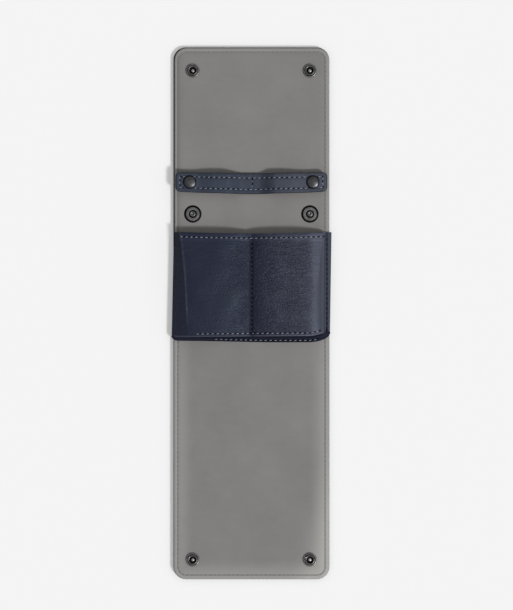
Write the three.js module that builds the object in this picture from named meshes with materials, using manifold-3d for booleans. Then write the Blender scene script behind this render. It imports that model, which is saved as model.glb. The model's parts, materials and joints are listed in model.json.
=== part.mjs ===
// A travel roll for two watches, opened flat with its lining up: a long padded leather panel with four creases, a
// pocket with two compartments, a keeper strap, and press studs at the corners. Millimetres, +Z up, +Y towards the
// flap that closes first. The origin is under the middle of the panel, at the height of the lowest metal.
import * as THREE from "three";
import { mergeVertices } from "three/addons/utils/BufferGeometryUtils.js";
import Module from "manifold-3d";

const wasm = await Module();
wasm.setup();

// Panel: outer leather, stiff core and suede lining, glued and sewn round the edge
const panelWidth = 112;
const panelLength = 382;
const cornerRadius = 9;
const leatherThickness = 1.25;
const coreThickness = 1.375;
const liningThickness = 0.75;
const contactGap = 0.0625;
const coreInset = 1.5;
const creaseGap = 0.3;

// Folding: room left for the watches, and where the pocket and the strap lie on the back
const foldDepth = 16;
const mouthFromTopEdge = 133.5;
const creaseBelowPocket = 3;
const flapBackStudFromCrease = 9.1;
const middleStudAboveMouth = 13.75;
const strapAboveMouth = 36.3;
const topSocketFromEdge = 17;
const bottomSocketFromEdge = 14.3;

// Pocket: one leather front, formed over two compartments, sewn down at its sides and to a divider at its middle
const pocketOverhang = 1;
const pocketWidth = panelWidth + 2 * pocketOverhang;
const pocketMouthHeight = 12;
const pocketFootHeight = 10;
const pocketBulge = 1.75;
const pocketSeamDip = 4.5;
const pocketSideFlange = 3;
const dividerThickness = 1.6;
const dividerFootWidth = 9;
const dividerFootThickness = 0.8;
const pocketLeatherThickness = 1.25;
const pocketLiningThickness = 0.6;
const pocketSquareness = 3.2;
const seamDipPower = 3;
const gussetRun = 2.2;
const gussetFlange = 1.5;
const softGap = 0.3;

// Keeper strap: two plies, sewn to the back at its middle and buttoned down at both ends
const strapFromSide = 1.7;
const strapLength = panelWidth - 2 * strapFromSide;
const strapWidth = 14;
const strapCornerRadius = 3.3;
const strapLeatherThickness = 1.25;
const strapBackingThickness = 1.2;
const strapAnchorLength = 10;
const strapArchHeight = 6.6;
const strapRampLength = 13;
const strapSnapFromEnd = 10.3;
const strapSnapSpacing = strapLength - 2 * strapSnapFromEnd;

// Press studs: a riveted cap holds each socket, and an eyelet hidden in the panel holds each stud
const snapFromSide = 14;
const snapSpacing = panelWidth - 2 * snapFromSide;
const shankDiameter = 3;
const rivetClearance = 0.3;
const flareDiameter = 4.2;
const flareThickness = 0.25;
const socketHeight = 3;
const socketWebThickness = 0.5;
const socketRimChamfer = 0.6;
const postDiameter = 4.3;
const postHeight = 2;
const postClearance = 0.3;
const postNeckDiameter = 3.8;
const dimpleDiameter = 1.8;
const dimpleDepth = 0.6;
const studBaseHeight = 0.75;
const studGrooveDiameter = 5.6;
const studGrooveDepth = 0.35;
const studRimChamfer = 0.4;
const matingGap = 0.3;
const eyeletHubDiameter = 4.8;
const eyeletPlateThickness = 0.5;
const capRimHeight = 0.4;
const flapSnap = { cap: 12.5, capRise: 1.25, socket: 9.7, studBase: 12.5, eyelet: 11 };
const strapSnap = { cap: 9.4, capRise: 1.6, socket: 8, studBase: 8.6, eyelet: 8 };

// Facets
const roundSides = 20;
const cornerSteps = 5;
const sideSteps = 8;
const seamSteps = 6;
const pocketRows = 7;
const strapSteps = 22;
const domeSteps = 4;

// Heights
const studHeight = studBaseHeight + postHeight;
const outerBottom = contactGap + studHeight;
const coreBottom = outerBottom + leatherThickness + contactGap;
const liningBottom = coreBottom + coreThickness + contactGap;
const liningTop = liningBottom + liningThickness;
const panelThickness = liningTop - outerBottom;
const matedDistance = contactGap + studBaseHeight + matingGap + socketHeight + contactGap;
const outerFoldDepth = foldDepth + panelThickness + matedDistance;

// Places along the panel. Folded over, the bottom flap's sockets land on the studs on the top flap's outer face, and
// that settles its creases. The pocket fills the back from its mouth down to them.
const panelEnd = panelLength / 2;
const mouthY = panelEnd - mouthFromTopEdge;
const middleStudY = mouthY + middleStudAboveMouth;
const strapY = mouthY + strapAboveMouth;
const topSocketY = panelEnd - topSocketFromEdge;
const bottomSocketY = bottomSocketFromEdge - panelEnd;
const topCreaseY = (topSocketY + middleStudY - foldDepth) / 2;
const topSecondCreaseY = topCreaseY + foldDepth;
const flapBackStudY = topSecondCreaseY + flapBackStudFromCrease;
const bottomSocketLandingY = topCreaseY - flapBackStudFromCrease;
const bottomCreaseY = (bottomSocketLandingY + bottomSocketY + outerFoldDepth) / 2;
const bottomSecondCreaseY = bottomCreaseY - outerFoldDepth;
const pocketBottomY = bottomCreaseY + creaseBelowPocket;
const gussetFootY = pocketBottomY + gussetFlange;
const gussetTopY = gussetFootY + gussetRun + pocketLeatherThickness;
const pocketFrontLength = mouthY - gussetTopY - softGap;

// Finishes
const navyLeather = new THREE.MeshStandardMaterial({ color: 0x2f3342, roughness: 0.55, metalness: 0 });
const strapLeather = new THREE.MeshStandardMaterial({ color: 0x3b414e, roughness: 0.5, metalness: 0 });
const greySuede = new THREE.MeshStandardMaterial({ color: 0x82817f, roughness: 0.95, metalness: 0 });
const coreBoard = new THREE.MeshStandardMaterial({ color: 0xb9a88c, roughness: 0.9, metalness: 0 });
const gunmetal = new THREE.MeshStandardMaterial({ color: 0x2a2b2d, roughness: 0.35, metalness: 1 });
const brightSteel = new THREE.MeshStandardMaterial({ color: 0x8d8f92, roughness: 0.3, metalness: 1 });

const roll = new THREE.Group();
const body = {};
for (const name of ["back", "top_spine", "top_flap", "bottom_spine", "bottom_flap", "strap_left", "strap_right"]) {
  body[name] = new THREE.Group();
  roll.add(body[name]);
}

function addMesh(group, name, geometry, material, x, y, z) {
  const mesh = new THREE.Mesh(geometry, material);
  mesh.name = name;
  mesh.position.set(x, y, z);
  group.add(mesh);
}

// A rectangle between two heights of y, with its own corner radius at either end
function plate(halfWidth, lowY, highY, lowRadius, highRadius) {
  const shape = new THREE.Shape();
  shape.moveTo(-halfWidth, lowY + lowRadius);
  if (lowRadius) shape.absarc(lowRadius - halfWidth, lowY + lowRadius, lowRadius, Math.PI, 1.5 * Math.PI);
  shape.lineTo(halfWidth - lowRadius, lowY);
  if (lowRadius) shape.absarc(halfWidth - lowRadius, lowY + lowRadius, lowRadius, 1.5 * Math.PI, 2 * Math.PI);
  shape.lineTo(halfWidth, highY - highRadius);
  if (highRadius) shape.absarc(halfWidth - highRadius, highY - highRadius, highRadius, 0, 0.5 * Math.PI);
  shape.lineTo(highRadius - halfWidth, highY);
  if (highRadius) shape.absarc(highRadius - halfWidth, highY - highRadius, highRadius, 0.5 * Math.PI, Math.PI);
  shape.closePath();
  return shape;
}

function roundHole(x, y, radius) {
  const points = [];
  for (let i = 0; i < roundSides; i++) {
    const angle = (-2 * Math.PI * i) / roundSides;
    points.push(new THREE.Vector2(x + radius * Math.cos(angle), y + radius * Math.sin(angle)));
  }
  return new THREE.Path(points);
}

function extruded(shape, depth) {
  return new THREE.ExtrudeGeometry(shape, { depth, bevelEnabled: false, curveSegments: cornerSteps, steps: 1 });
}

// A turned piece whose profile is [radius, height] pairs, standing on +Z when direction is 1 and on -Z when -1
function turned(profile, direction) {
  const points = profile.map(([radius, height]) => new THREE.Vector2(radius, direction * height));
  if (direction < 0) points.reverse();
  return new THREE.LatheGeometry(points, roundSides).rotateX(Math.PI / 2);
}

// The closed wall between two sheets, given as rows of { outer, inner } points
function shell(rows) {
  const columns = rows[0].length;
  const positions = [];
  for (const side of ["outer", "inner"]) {
    for (const row of rows) {
      for (const pair of row) positions.push(...pair[side]);
    }
  }
  const outer = (row, column) => row * columns + column;
  const inner = (row, column) => rows.length * columns + outer(row, column);
  const faces = [];
  const quad = (a, b, c, d) => faces.push(a, b, c, a, c, d);
  for (let r = 0; r + 1 < rows.length; r++) {
    for (let c = 0; c + 1 < columns; c++) {
      quad(outer(r, c), outer(r, c + 1), outer(r + 1, c + 1), outer(r + 1, c));
      quad(inner(r, c), inner(r + 1, c), inner(r + 1, c + 1), inner(r, c + 1));
    }
    quad(outer(r, 0), outer(r + 1, 0), inner(r + 1, 0), inner(r, 0));
    quad(outer(r + 1, columns - 1), outer(r, columns - 1), inner(r, columns - 1), inner(r + 1, columns - 1));
  }
  const lastRow = rows.length - 1;
  for (let c = 0; c + 1 < columns; c++) {
    quad(outer(0, c + 1), outer(0, c), inner(0, c), inner(0, c + 1));
    quad(outer(lastRow, c), outer(lastRow, c + 1), inner(lastRow, c + 1), inner(lastRow, c));
  }
  const geometry = new THREE.BufferGeometry();
  geometry.setAttribute("position", new THREE.Float32BufferAttribute(positions, 3));
  geometry.setIndex(faces);
  return geometry;
}

function toManifold(geometry) {
  const bare = geometry.clone();
  bare.deleteAttribute("normal");
  bare.deleteAttribute("uv");
  const merged = mergeVertices(bare);
  return new wasm.Manifold(
    new wasm.Mesh({
      numProp: 3,
      vertProperties: merged.attributes.position.array,
      triVerts: new Uint32Array(merged.index.array),
    }),
  );
}

function commonPart(first, second) {
  const mesh = toManifold(first).intersect(toManifold(second)).getMesh();
  const geometry = new THREE.BufferGeometry();
  geometry.setAttribute("position", new THREE.BufferAttribute(mesh.vertProperties, 3));
  geometry.setIndex(new THREE.BufferAttribute(mesh.triVerts, 1));
  return geometry;
}

// Holes through the layers: rivet shanks pass all three, eyelets fill a round window in the core
const sides = { left: -1, right: 1 };
const shankHole = shankDiameter / 2 + rivetClearance;
const flapEyeletHole = flapSnap.eyelet / 2 + rivetClearance;
const strapEyeletHole = strapSnap.eyelet / 2 + rivetClearance;

function pairOfHoles(spacing, y, radius) {
  return Object.values(sides).map((side) => roundHole((side * spacing) / 2, y, radius));
}

const segments = {
  back: {
    low: bottomCreaseY,
    high: topCreaseY,
    outer: [],
    core: [
      ...pairOfHoles(snapSpacing, middleStudY, flapEyeletHole),
      ...pairOfHoles(strapSnapSpacing, strapY, strapEyeletHole),
    ],
    lining: [
      ...pairOfHoles(snapSpacing, middleStudY, shankHole),
      ...pairOfHoles(strapSnapSpacing, strapY, shankHole),
    ],
  },
  top_spine: { low: topCreaseY, high: topSecondCreaseY, outer: [], core: [], lining: [] },
  top_flap: {
    low: topSecondCreaseY,
    high: panelEnd,
    outer: [
      ...pairOfHoles(snapSpacing, topSocketY, shankHole),
      ...pairOfHoles(snapSpacing, flapBackStudY, shankHole),
    ],
    core: [
      ...pairOfHoles(snapSpacing, topSocketY, shankHole),
      ...pairOfHoles(snapSpacing, flapBackStudY, flapEyeletHole),
    ],
    lining: pairOfHoles(snapSpacing, topSocketY, shankHole),
  },
  bottom_spine: { low: bottomSecondCreaseY, high: bottomCreaseY, outer: [], core: [], lining: [] },
  bottom_flap: {
    low: -panelEnd,
    high: bottomSecondCreaseY,
    outer: pairOfHoles(snapSpacing, bottomSocketY, shankHole),
    core: pairOfHoles(snapSpacing, bottomSocketY, shankHole),
    lining: pairOfHoles(snapSpacing, bottomSocketY, shankHole),
  },
};

const layers = {
  outer: { prefix: "outer_leather", z: outerBottom, thickness: leatherThickness, inset: 0, finish: navyLeather },
  core: { prefix: "core", z: coreBottom, thickness: coreThickness, inset: coreInset, finish: coreBoard },
  lining: { prefix: "lining", z: liningBottom, thickness: liningThickness, inset: 0, finish: greySuede },
};

for (const [segmentName, segment] of Object.entries(segments)) {
  for (const [layerName, layer] of Object.entries(layers)) {
    const atLowEnd = segment.low === -panelEnd;
    const atHighEnd = segment.high === panelEnd;
    const outline = plate(
      panelWidth / 2 - layer.inset,
      segment.low + (atLowEnd ? layer.inset : creaseGap / 2),
      segment.high - (atHighEnd ? layer.inset : creaseGap / 2),
      atLowEnd ? cornerRadius - layer.inset : 0,
      atHighEnd ? cornerRadius - layer.inset : 0,
    );
    outline.holes = segment[layerName];
    const name = layer.prefix + "_" + segmentName;
    addMesh(body[segmentName], name, extruded(outline, layer.thickness), layer.finish, 0, 0, layer.z);
  }
}

// Cap: a domed head on one side of the plies, its shank through them, and its end flared over the socket's web
function capProfile(snap, plies) {
  const reach = contactGap + plies + contactGap + socketWebThickness + contactGap;
  const profile = [
    [0, -reach - flareThickness],
    [flareDiameter / 2, -reach - flareThickness],
    [flareDiameter / 2, -reach],
    [shankDiameter / 2, -reach],
    [shankDiameter / 2, 0],
    [snap.cap / 2, 0],
    [snap.cap / 2, capRimHeight],
  ];
  for (let i = 1; i <= domeSteps; i++) {
    const angle = (Math.PI * i) / (2 * domeSteps);
    const rise = capRimHeight + (snap.capRise - capRimHeight) * Math.sin(angle);
    profile.push([(snap.cap / 2) * Math.max(Math.cos(angle), 0), rise]);
  }
  profile[profile.length - 1][0] = 0;
  return profile;
}

function socketProfile(snap) {
  const boreRadius = postDiameter / 2 + postClearance;
  return [
    [shankHole, 0],
    [snap.socket / 2, 0],
    [snap.socket / 2, socketHeight - socketRimChamfer],
    [snap.socket / 2 - socketRimChamfer, socketHeight],
    [boreRadius, socketHeight],
    [boreRadius, socketWebThickness],
    [shankHole, socketWebThickness],
    [shankHole, 0],
  ];
}

// Stud: a flanged base with a groove round its sprung post, and a short shank down into its eyelet
function studProfile(snap, skin) {
  const shankReach = contactGap + skin + contactGap + coreThickness - eyeletPlateThickness;
  return [
    [0, -shankReach],
    [shankDiameter / 2, -shankReach],
    [shankDiameter / 2, 0],
    [snap.studBase / 2, 0],
    [snap.studBase / 2, studBaseHeight - studRimChamfer],
    [snap.studBase / 2 - studRimChamfer, studBaseHeight],
    [studGrooveDiameter / 2, studBaseHeight],
    [studGrooveDiameter / 2, studBaseHeight - studGrooveDepth],
    [postNeckDiameter / 2, studBaseHeight - studGrooveDepth],
    [postDiameter / 2, studBaseHeight + postHeight / 2],
    [postNeckDiameter / 2, studHeight],
    [dimpleDiameter / 2, studHeight],
    [0, studHeight - dimpleDepth],
  ];
}

function eyeletProfile(snap) {
  return [
    [shankHole, 0],
    [snap.eyelet / 2, 0],
    [snap.eyelet / 2, eyeletPlateThickness],
    [eyeletHubDiameter / 2, eyeletPlateThickness],
    [eyeletHubDiameter / 2, coreThickness],
    [shankHole, coreThickness],
    [shankHole, 0],
  ];
}

for (const [sideName, side] of Object.entries(sides)) {
  const x = (side * snapSpacing) / 2;
  const strapX = (side * strapSnapSpacing) / 2;
  const put = (bodyName, name, geometry, finish, atX, y, z) =>
    addMesh(body[bodyName], name + "_" + sideName, geometry, finish, atX, y, z);

  for (const [flap, y] of [["top_flap", topSocketY], ["bottom_flap", bottomSocketY]]) {
    const capGeometry = turned(capProfile(flapSnap, panelThickness), -1);
    put(flap, flap + "_cap", capGeometry, gunmetal, x, y, outerBottom - contactGap);
    put(flap, flap + "_socket", turned(socketProfile(flapSnap), 1), gunmetal, x, y, liningTop + contactGap);
  }

  const middleStud = turned(studProfile(flapSnap, liningThickness), 1);
  put("back", "middle_stud", middleStud, gunmetal, x, middleStudY, liningTop + contactGap);
  put("back", "middle_eyelet", turned(eyeletProfile(flapSnap), 1), brightSteel, x, middleStudY, coreBottom);

  const coreTop = coreBottom + coreThickness;
  const flapBackStud = turned(studProfile(flapSnap, leatherThickness), -1);
  put("top_flap", "flap_back_stud", flapBackStud, gunmetal, x, flapBackStudY, outerBottom - contactGap);
  put("top_flap", "flap_back_eyelet", turned(eyeletProfile(flapSnap), -1), brightSteel, x, flapBackStudY, coreTop);

  const strapStud = turned(studProfile(strapSnap, liningThickness), 1);
  put("back", "strap_stud", strapStud, gunmetal, strapX, strapY, liningTop + contactGap);
  put("back", "strap_eyelet", turned(eyeletProfile(strapSnap), 1), brightSteel, strapX, strapY, coreBottom);
}

// Strap: from the middle out, its underside ramps up off the lining, arches over a watch band and comes down to the
// socket. The plies are cut from that side view and from the plan view.
const strapThickness = strapBackingThickness + softGap + strapLeatherThickness;
const strapSnapHeight = matedDistance;
const strapEndX = strapLength / 2;
const anchorX = strapAnchorLength / 2;
const strapFlatX = strapSnapSpacing / 2 - strapSnap.cap / 2;

function smoothStep(share) {
  const s = Math.min(Math.max(share, 0), 1);
  return s * s * (3 - 2 * s);
}

function strapUnderside(x) {
  const up = smoothStep((x - anchorX) / strapRampLength);
  const down = smoothStep((x - strapFlatX + strapRampLength) / strapRampLength);
  const arch = contactGap + (strapArchHeight - contactGap) * up;
  return arch + (strapSnapHeight - strapArchHeight) * down;
}

function strapPly(sideName, lift, thickness) {
  const side = sides[sideName];
  const start = anchorX + creaseGap / 2;
  const over = [];
  const under = [];
  for (let i = 0; i <= strapSteps; i++) {
    const x = start + ((strapEndX - start) * i) / strapSteps;
    under.push(new THREE.Vector2(x, strapUnderside(x) + lift));
    over.unshift(new THREE.Vector2(x, strapUnderside(x) + lift + thickness));
  }
  const sideView = extruded(new THREE.Shape([...under, ...over]), strapWidth);
  sideView.rotateX(Math.PI / 2).translate(0, strapWidth / 2, 0);
  const planShape = new THREE.Shape();
  planShape.moveTo(0, -strapWidth / 2);
  planShape.lineTo(strapEndX - strapCornerRadius, -strapWidth / 2);
  const cornerX = strapEndX - strapCornerRadius;
  const cornerY = strapWidth / 2 - strapCornerRadius;
  planShape.absarc(cornerX, -cornerY, strapCornerRadius, -Math.PI / 2, 0);
  planShape.absarc(cornerX, cornerY, strapCornerRadius, 0, Math.PI / 2);
  planShape.lineTo(0, strapWidth / 2);
  planShape.closePath();
  planShape.holes = [roundHole(strapSnapSpacing / 2, 0, shankHole)];
  const planView = extruded(planShape, strapArchHeight + 2 * strapThickness);
  const ply = commonPart(sideView, planView);
  if (side < 0) ply.rotateZ(Math.PI);
  return ply;
}

const plies = {
  strap_backing: { lift: 0, thickness: strapBackingThickness, finish: greySuede },
  strap_leather: { lift: strapBackingThickness + softGap, thickness: strapLeatherThickness, finish: strapLeather },
};
for (const [plyName, ply] of Object.entries(plies)) {
  for (const sideName of Object.keys(sides)) {
    const geometry = strapPly(sideName, ply.lift, ply.thickness);
    addMesh(body["strap_" + sideName], plyName + "_" + sideName, geometry, ply.finish, 0, strapY, liningTop);
  }
  const anchor = extruded(plate(anchorX - creaseGap / 2, -strapWidth / 2, strapWidth / 2, 0, 0), ply.thickness);
  addMesh(body.back, plyName + "_centre", anchor, ply.finish, 0, strapY, liningTop + contactGap + ply.lift);
}
for (const [sideName, side] of Object.entries(sides)) {
  const x = (side * strapSnapSpacing) / 2;
  const strapTop = liningTop + strapSnapHeight + strapThickness;
  const socket = turned(socketProfile(strapSnap), -1);
  const cap = turned(capProfile(strapSnap, strapThickness), 1);
  const socketSeat = liningTop + strapSnapHeight - contactGap;
  addMesh(body["strap_" + sideName], "strap_socket_" + sideName, socket, gunmetal, x, strapY, socketSeat);
  addMesh(body["strap_" + sideName], "strap_cap_" + sideName, cap, gunmetal, x, strapY, strapTop + contactGap);
}

// Pocket: in section each compartment rises from the side as a squared quarter arch, and dips again to the seam
const compartmentHalf = (pocketWidth / 2 - pocketSideFlange) / 2;
const crownX = compartmentHalf;

function pocketHeight(share) {
  const straight = pocketMouthHeight + (pocketFootHeight - pocketMouthHeight) * share;
  return straight + pocketBulge * Math.sin(Math.PI * share);
}

function pocketY(share) {
  return mouthY - pocketFrontLength * share;
}

// Points [x, z] from the side to endX, of a sheet that lies inset under the pocket's outer surface
function pocketCurve(share, inset, base, endX) {
  const power = 2 / pocketSquareness;
  const rise = pocketHeight(share) - inset - base;
  const points = [];
  for (let i = 0; i <= sideSteps; i++) {
    const angle = (Math.PI / 2) * (i / sideSteps);
    const across = Math.max(Math.cos(angle), 0) ** power;
    points.push([crownX + (compartmentHalf - inset) * across, base + rise * Math.sin(angle) ** power]);
  }
  points[sideSteps][0] = crownX;
  for (let i = 1; i <= seamSteps; i++) {
    const x = crownX + ((endX - crownX) * i) / seamSteps;
    const dip = pocketSeamDip * (1 - x / crownX) ** seamDipPower;
    points.push([x, base + rise - dip]);
  }
  return points;
}

// One row of the front, from the right flange over both compartments to the left flange
function frontSection(share) {
  const y = pocketY(share);
  const outer = pocketCurve(share, 0, pocketLeatherThickness, 0);
  const inner = pocketCurve(share, pocketLeatherThickness, 0, 0);
  const pair = (side, i) => ({
    outer: [side * outer[i][0], y, outer[i][1]],
    inner: [side * inner[i][0], y, inner[i][1]],
  });
  const flange = (side) => ({
    outer: [(side * pocketWidth) / 2, y, pocketLeatherThickness],
    inner: [(side * pocketWidth) / 2, y, 0],
  });
  const row = [flange(1)];
  for (let i = 0; i < outer.length; i++) row.push(pair(1, i));
  for (let i = outer.length - 2; i >= 0; i--) row.push(pair(-1, i));
  row.push(flange(-1));
  return row;
}

function frontRows() {
  const rows = [];
  for (let r = 0; r <= pocketRows; r++) rows.push(frontSection(r / pocketRows));
  return rows;
}

// The lining of one compartment follows the inside of the front, as far as the divider
function pocketLining(side) {
  const rows = [];
  const endX = dividerThickness / 2 + softGap;
  for (let r = 0; r <= pocketRows; r++) {
    const share = r / pocketRows;
    const outer = pocketCurve(share, pocketLeatherThickness + softGap, 0, endX);
    const inner = pocketCurve(share, pocketLeatherThickness + softGap + pocketLiningThickness, 0, endX);
    const row = outer.map((point, i) => ({
      outer: [side * point[0], pocketY(share), point[1]],
      inner: [side * inner[i][0], pocketY(share), inner[i][1]],
    }));
    rows.push(side > 0 ? row : row.reverse());
  }
  return shell(rows);
}

// The divider stands on two feet sewn to the back, and its top edge carries the middle seam
function divider() {
  const rows = [];
  const half = dividerThickness / 2;
  for (let r = 0; r <= pocketRows; r++) {
    const share = r / pocketRows;
    const y = pocketY(share);
    const top = pocketHeight(share) - pocketSeamDip - pocketLeatherThickness - softGap;
    const right = [
      { outer: [dividerFootWidth / 2, y, dividerFootThickness], inner: [dividerFootWidth / 2, y, 0] },
      { outer: [half, y, dividerFootThickness], inner: [half, y, 0] },
      { outer: [half, y, top], inner: [half / 2, y, 0] },
    ];
    const mirrored = ([x, alongY, z]) => [-x, alongY, z];
    const left = right.map(({ outer, inner }) => ({ outer: mirrored(outer), inner: mirrored(inner) })).reverse();
    rows.push([...right, ...left]);
  }
  return shell(rows);
}

// The gusset closes the foot of the pocket: from the front's edge it slopes down to a flange sewn to the back
function gusset() {
  const edge = frontSection(1);
  const topRow = edge.map(({ outer: [x, , z] }) => ({
    outer: [x, gussetTopY - pocketLeatherThickness, z],
    inner: [x, gussetTopY, z],
  }));
  const footRow = edge.map(({ outer: [x] }) => ({
    outer: [x, gussetFootY, pocketLeatherThickness],
    inner: [x, gussetFootY + pocketLeatherThickness, 0],
  }));
  const flangeRow = edge.map(({ outer: [x] }) => ({
    outer: [x, pocketBottomY, pocketLeatherThickness],
    inner: [x, pocketBottomY, 0],
  }));
  return shell([topRow, footRow, flangeRow]);
}

const pocketFloor = liningTop + contactGap;
addMesh(body.back, "pocket_front", shell(frontRows()), navyLeather, 0, 0, pocketFloor);
addMesh(body.back, "pocket_gusset", gusset(), navyLeather, 0, 0, pocketFloor);
addMesh(body.back, "pocket_divider", divider(), greySuede, 0, 0, pocketFloor);
for (const [sideName, side] of Object.entries(sides)) {
  addMesh(body.back, "pocket_lining_" + sideName, pocketLining(side), greySuede, 0, 0, pocketFloor);
}

export default roll;
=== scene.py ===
import json
import random
from functools import partial
from math import asin, cos, exp, hypot, pi, radians, sin, sqrt

import bmesh
import bpy
from bmesh import ops
from mathutils import Matrix, Vector, noise


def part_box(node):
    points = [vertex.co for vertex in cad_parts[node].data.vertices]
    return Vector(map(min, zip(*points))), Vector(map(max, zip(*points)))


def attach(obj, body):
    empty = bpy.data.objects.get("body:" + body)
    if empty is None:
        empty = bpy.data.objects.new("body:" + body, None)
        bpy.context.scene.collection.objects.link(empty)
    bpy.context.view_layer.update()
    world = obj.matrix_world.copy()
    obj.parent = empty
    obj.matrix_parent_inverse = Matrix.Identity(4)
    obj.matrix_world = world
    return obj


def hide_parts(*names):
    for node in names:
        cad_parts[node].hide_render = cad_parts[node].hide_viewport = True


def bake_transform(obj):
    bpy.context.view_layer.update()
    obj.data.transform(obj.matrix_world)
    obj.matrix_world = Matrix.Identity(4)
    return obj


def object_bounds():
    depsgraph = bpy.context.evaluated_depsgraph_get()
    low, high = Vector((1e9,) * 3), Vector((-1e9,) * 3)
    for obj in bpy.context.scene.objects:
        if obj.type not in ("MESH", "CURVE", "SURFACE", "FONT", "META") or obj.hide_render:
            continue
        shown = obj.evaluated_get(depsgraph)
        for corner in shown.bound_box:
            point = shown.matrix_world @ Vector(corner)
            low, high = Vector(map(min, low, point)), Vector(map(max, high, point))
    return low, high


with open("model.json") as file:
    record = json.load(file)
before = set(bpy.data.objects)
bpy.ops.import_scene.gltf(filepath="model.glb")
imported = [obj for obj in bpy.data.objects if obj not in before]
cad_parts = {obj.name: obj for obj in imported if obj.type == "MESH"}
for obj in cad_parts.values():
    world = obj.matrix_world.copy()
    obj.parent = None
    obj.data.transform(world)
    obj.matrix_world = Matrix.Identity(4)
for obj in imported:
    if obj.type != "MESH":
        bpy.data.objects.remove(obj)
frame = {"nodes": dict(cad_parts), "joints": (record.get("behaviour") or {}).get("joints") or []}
cad_low, cad_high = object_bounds()
mm = 0.001
scene = bpy.context.scene

# Camera: straight above the open roll, square to it, and far enough away that nothing leans. The view is as
# wide as the photograph's at the height of the lining.
photo_scale = 0.7175 * mm
photo_width_px, photo_height_px = 513, 610
roll_centre_px = (251.35, 313.3)
camera_height = 1.8
lining_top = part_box("lining_back")[1].z


def placed(name, data):
    made = bpy.data.objects.new(name, data)
    scene.collection.objects.link(made)
    return made


camera_data = bpy.data.cameras.new("camera")
camera_data.lens = camera_data.sensor_width * (camera_height - lining_top) / (photo_height_px * photo_scale)
camera = placed("camera", camera_data)
camera_x = (photo_width_px / 2 - roll_centre_px[0]) * photo_scale
camera_y = (roll_centre_px[1] - photo_height_px / 2) * photo_scale
camera.location = (camera_x, camera_y, camera_height)
scene.camera = camera
scene.view_settings.view_transform = "Standard"

# Studio: a pale table that glows a little, so that shadows on it stay light, one soft light from the lower
# right, and a surround that is brightest overhead and to the right, so that the metal keeps dark rims.
floor_size = 6
floor_level, floor_glow = 0.67, 0.235
light_tilt, light_heading = radians(35), radians(-38)
light_strength, light_softness = 1.9, radians(9)
surround_low, surround_high = 0.16, 0.8
surround_horizon, surround_zenith = 0.35, 0.95
surround_lean = 0.4


def maths(operation, swapped=False):

    def method(self, *others):
        values = (*others, self) if swapped else (self, *others)
        return self.finish.node("ShaderNodeMath", values, operation=operation)

    return method


class Value:
    """A socket of a finish, with the arithmetic that adds Math nodes to it."""

    def __init__(self, finish, socket):
        self.finish, self.socket = finish, socket

    __add__ = __radd__ = maths("ADD")
    __mul__ = __rmul__ = maths("MULTIPLY")
    __sub__, __rsub__ = maths("SUBTRACT"), maths("SUBTRACT", swapped=True)
    __truediv__, __pow__, __abs__ = maths("DIVIDE"), maths("POWER"), maths("ABSOLUTE")
    greater, lesser = maths("MAXIMUM"), maths("MINIMUM")


class Finish:
    """A material in the making. Its patterns follow the piece's place at rest, so no pose moves them."""

    def __init__(self, name, steady, kind="materials", shader="Principled BSDF"):
        self.material = getattr(bpy.data, kind).new(name)
        self.material.use_nodes = True
        self.tree = self.material.node_tree
        self.shader = self.tree.nodes[shader]
        for socket, value in steady.items():
            self.shader.inputs[socket].default_value = value

    def node(self, kind, sockets=(), output=0, **settings):
        made = self.tree.nodes.new(kind)
        for name, setting in settings.items():
            setattr(made, name, setting)
        for key, value in sockets.items() if isinstance(sockets, dict) else enumerate(sockets):
            if isinstance(value, Value):
                self.tree.links.new(value.socket, made.inputs[key])
            else:
                made.inputs[key].default_value = value
        return Value(self, made.outputs[output])

    def feed(self, socket, value):
        self.tree.links.new(value.socket, self.shader.inputs[socket])

    def place(self):
        settings = {"attribute_type": "GEOMETRY", "attribute_name": "rest_place"}
        return self.node("ShaderNodeAttribute", (), "Vector", **settings)

    def axis(self, place, name):
        return self.node("ShaderNodeSeparateXYZ", (place,), name)

    def stretched(self, place, scale):
        return self.node("ShaderNodeVectorMath", (place, scale), operation="MULTIPLY")

    def clouds(self, place, size, detail=2, roughness=0.5, output=0):
        sockets = {"Vector": place, "Scale": 1 / size, "Detail": detail, "Roughness": roughness}
        return self.node("ShaderNodeTexNoise", sockets, output)

    def cells(self, place, size, feature, **more):
        sockets = {"Vector": place, "Scale": 1 / size, **more}
        return self.node("ShaderNodeTexVoronoi", sockets, feature=feature)

    def pushed(self, place, size, reach):
        """The place moved about by clouds, for cells with uneven outlines."""
        clouds = self.clouds(place, size, output="Color")
        shift = self.node("ShaderNodeVectorMath", {0: clouds, "Scale": reach}, operation="SCALE")
        return self.node("ShaderNodeVectorMath", (place, shift), operation="ADD")

    def fade(self, value, start, end, low=0, high=1, curve="SMOOTHSTEP"):
        return self.node("ShaderNodeMapRange", (value, start, end, low, high), interpolation_type=curve)

    def mixed(self, share, first, second):
        return self.node("ShaderNodeMix", {0: share, 6: first, 7: second}, 2, data_type="RGBA")

    def coloured(self, share, first, second):
        self.feed("Base Color", self.mixed(share, first, second))

    def embossed(self, height, depth, strength=1):
        sockets = {"Strength": strength, "Distance": depth, "Height": height}
        self.feed("Normal", self.node("ShaderNodeBump", sockets))


def grid(columns=1, rows=1, size=1):
    bm = bmesh.new()
    ops.create_grid(bm, x_segments=columns, y_segments=rows, size=size)
    return bm


def mesh_from(name, bm, materials):
    mesh = bpy.data.meshes.new(name)
    bm.normal_update()
    bm.to_mesh(mesh)
    bm.free()
    for material in materials:
        mesh.materials.append(material)
    return mesh


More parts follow.
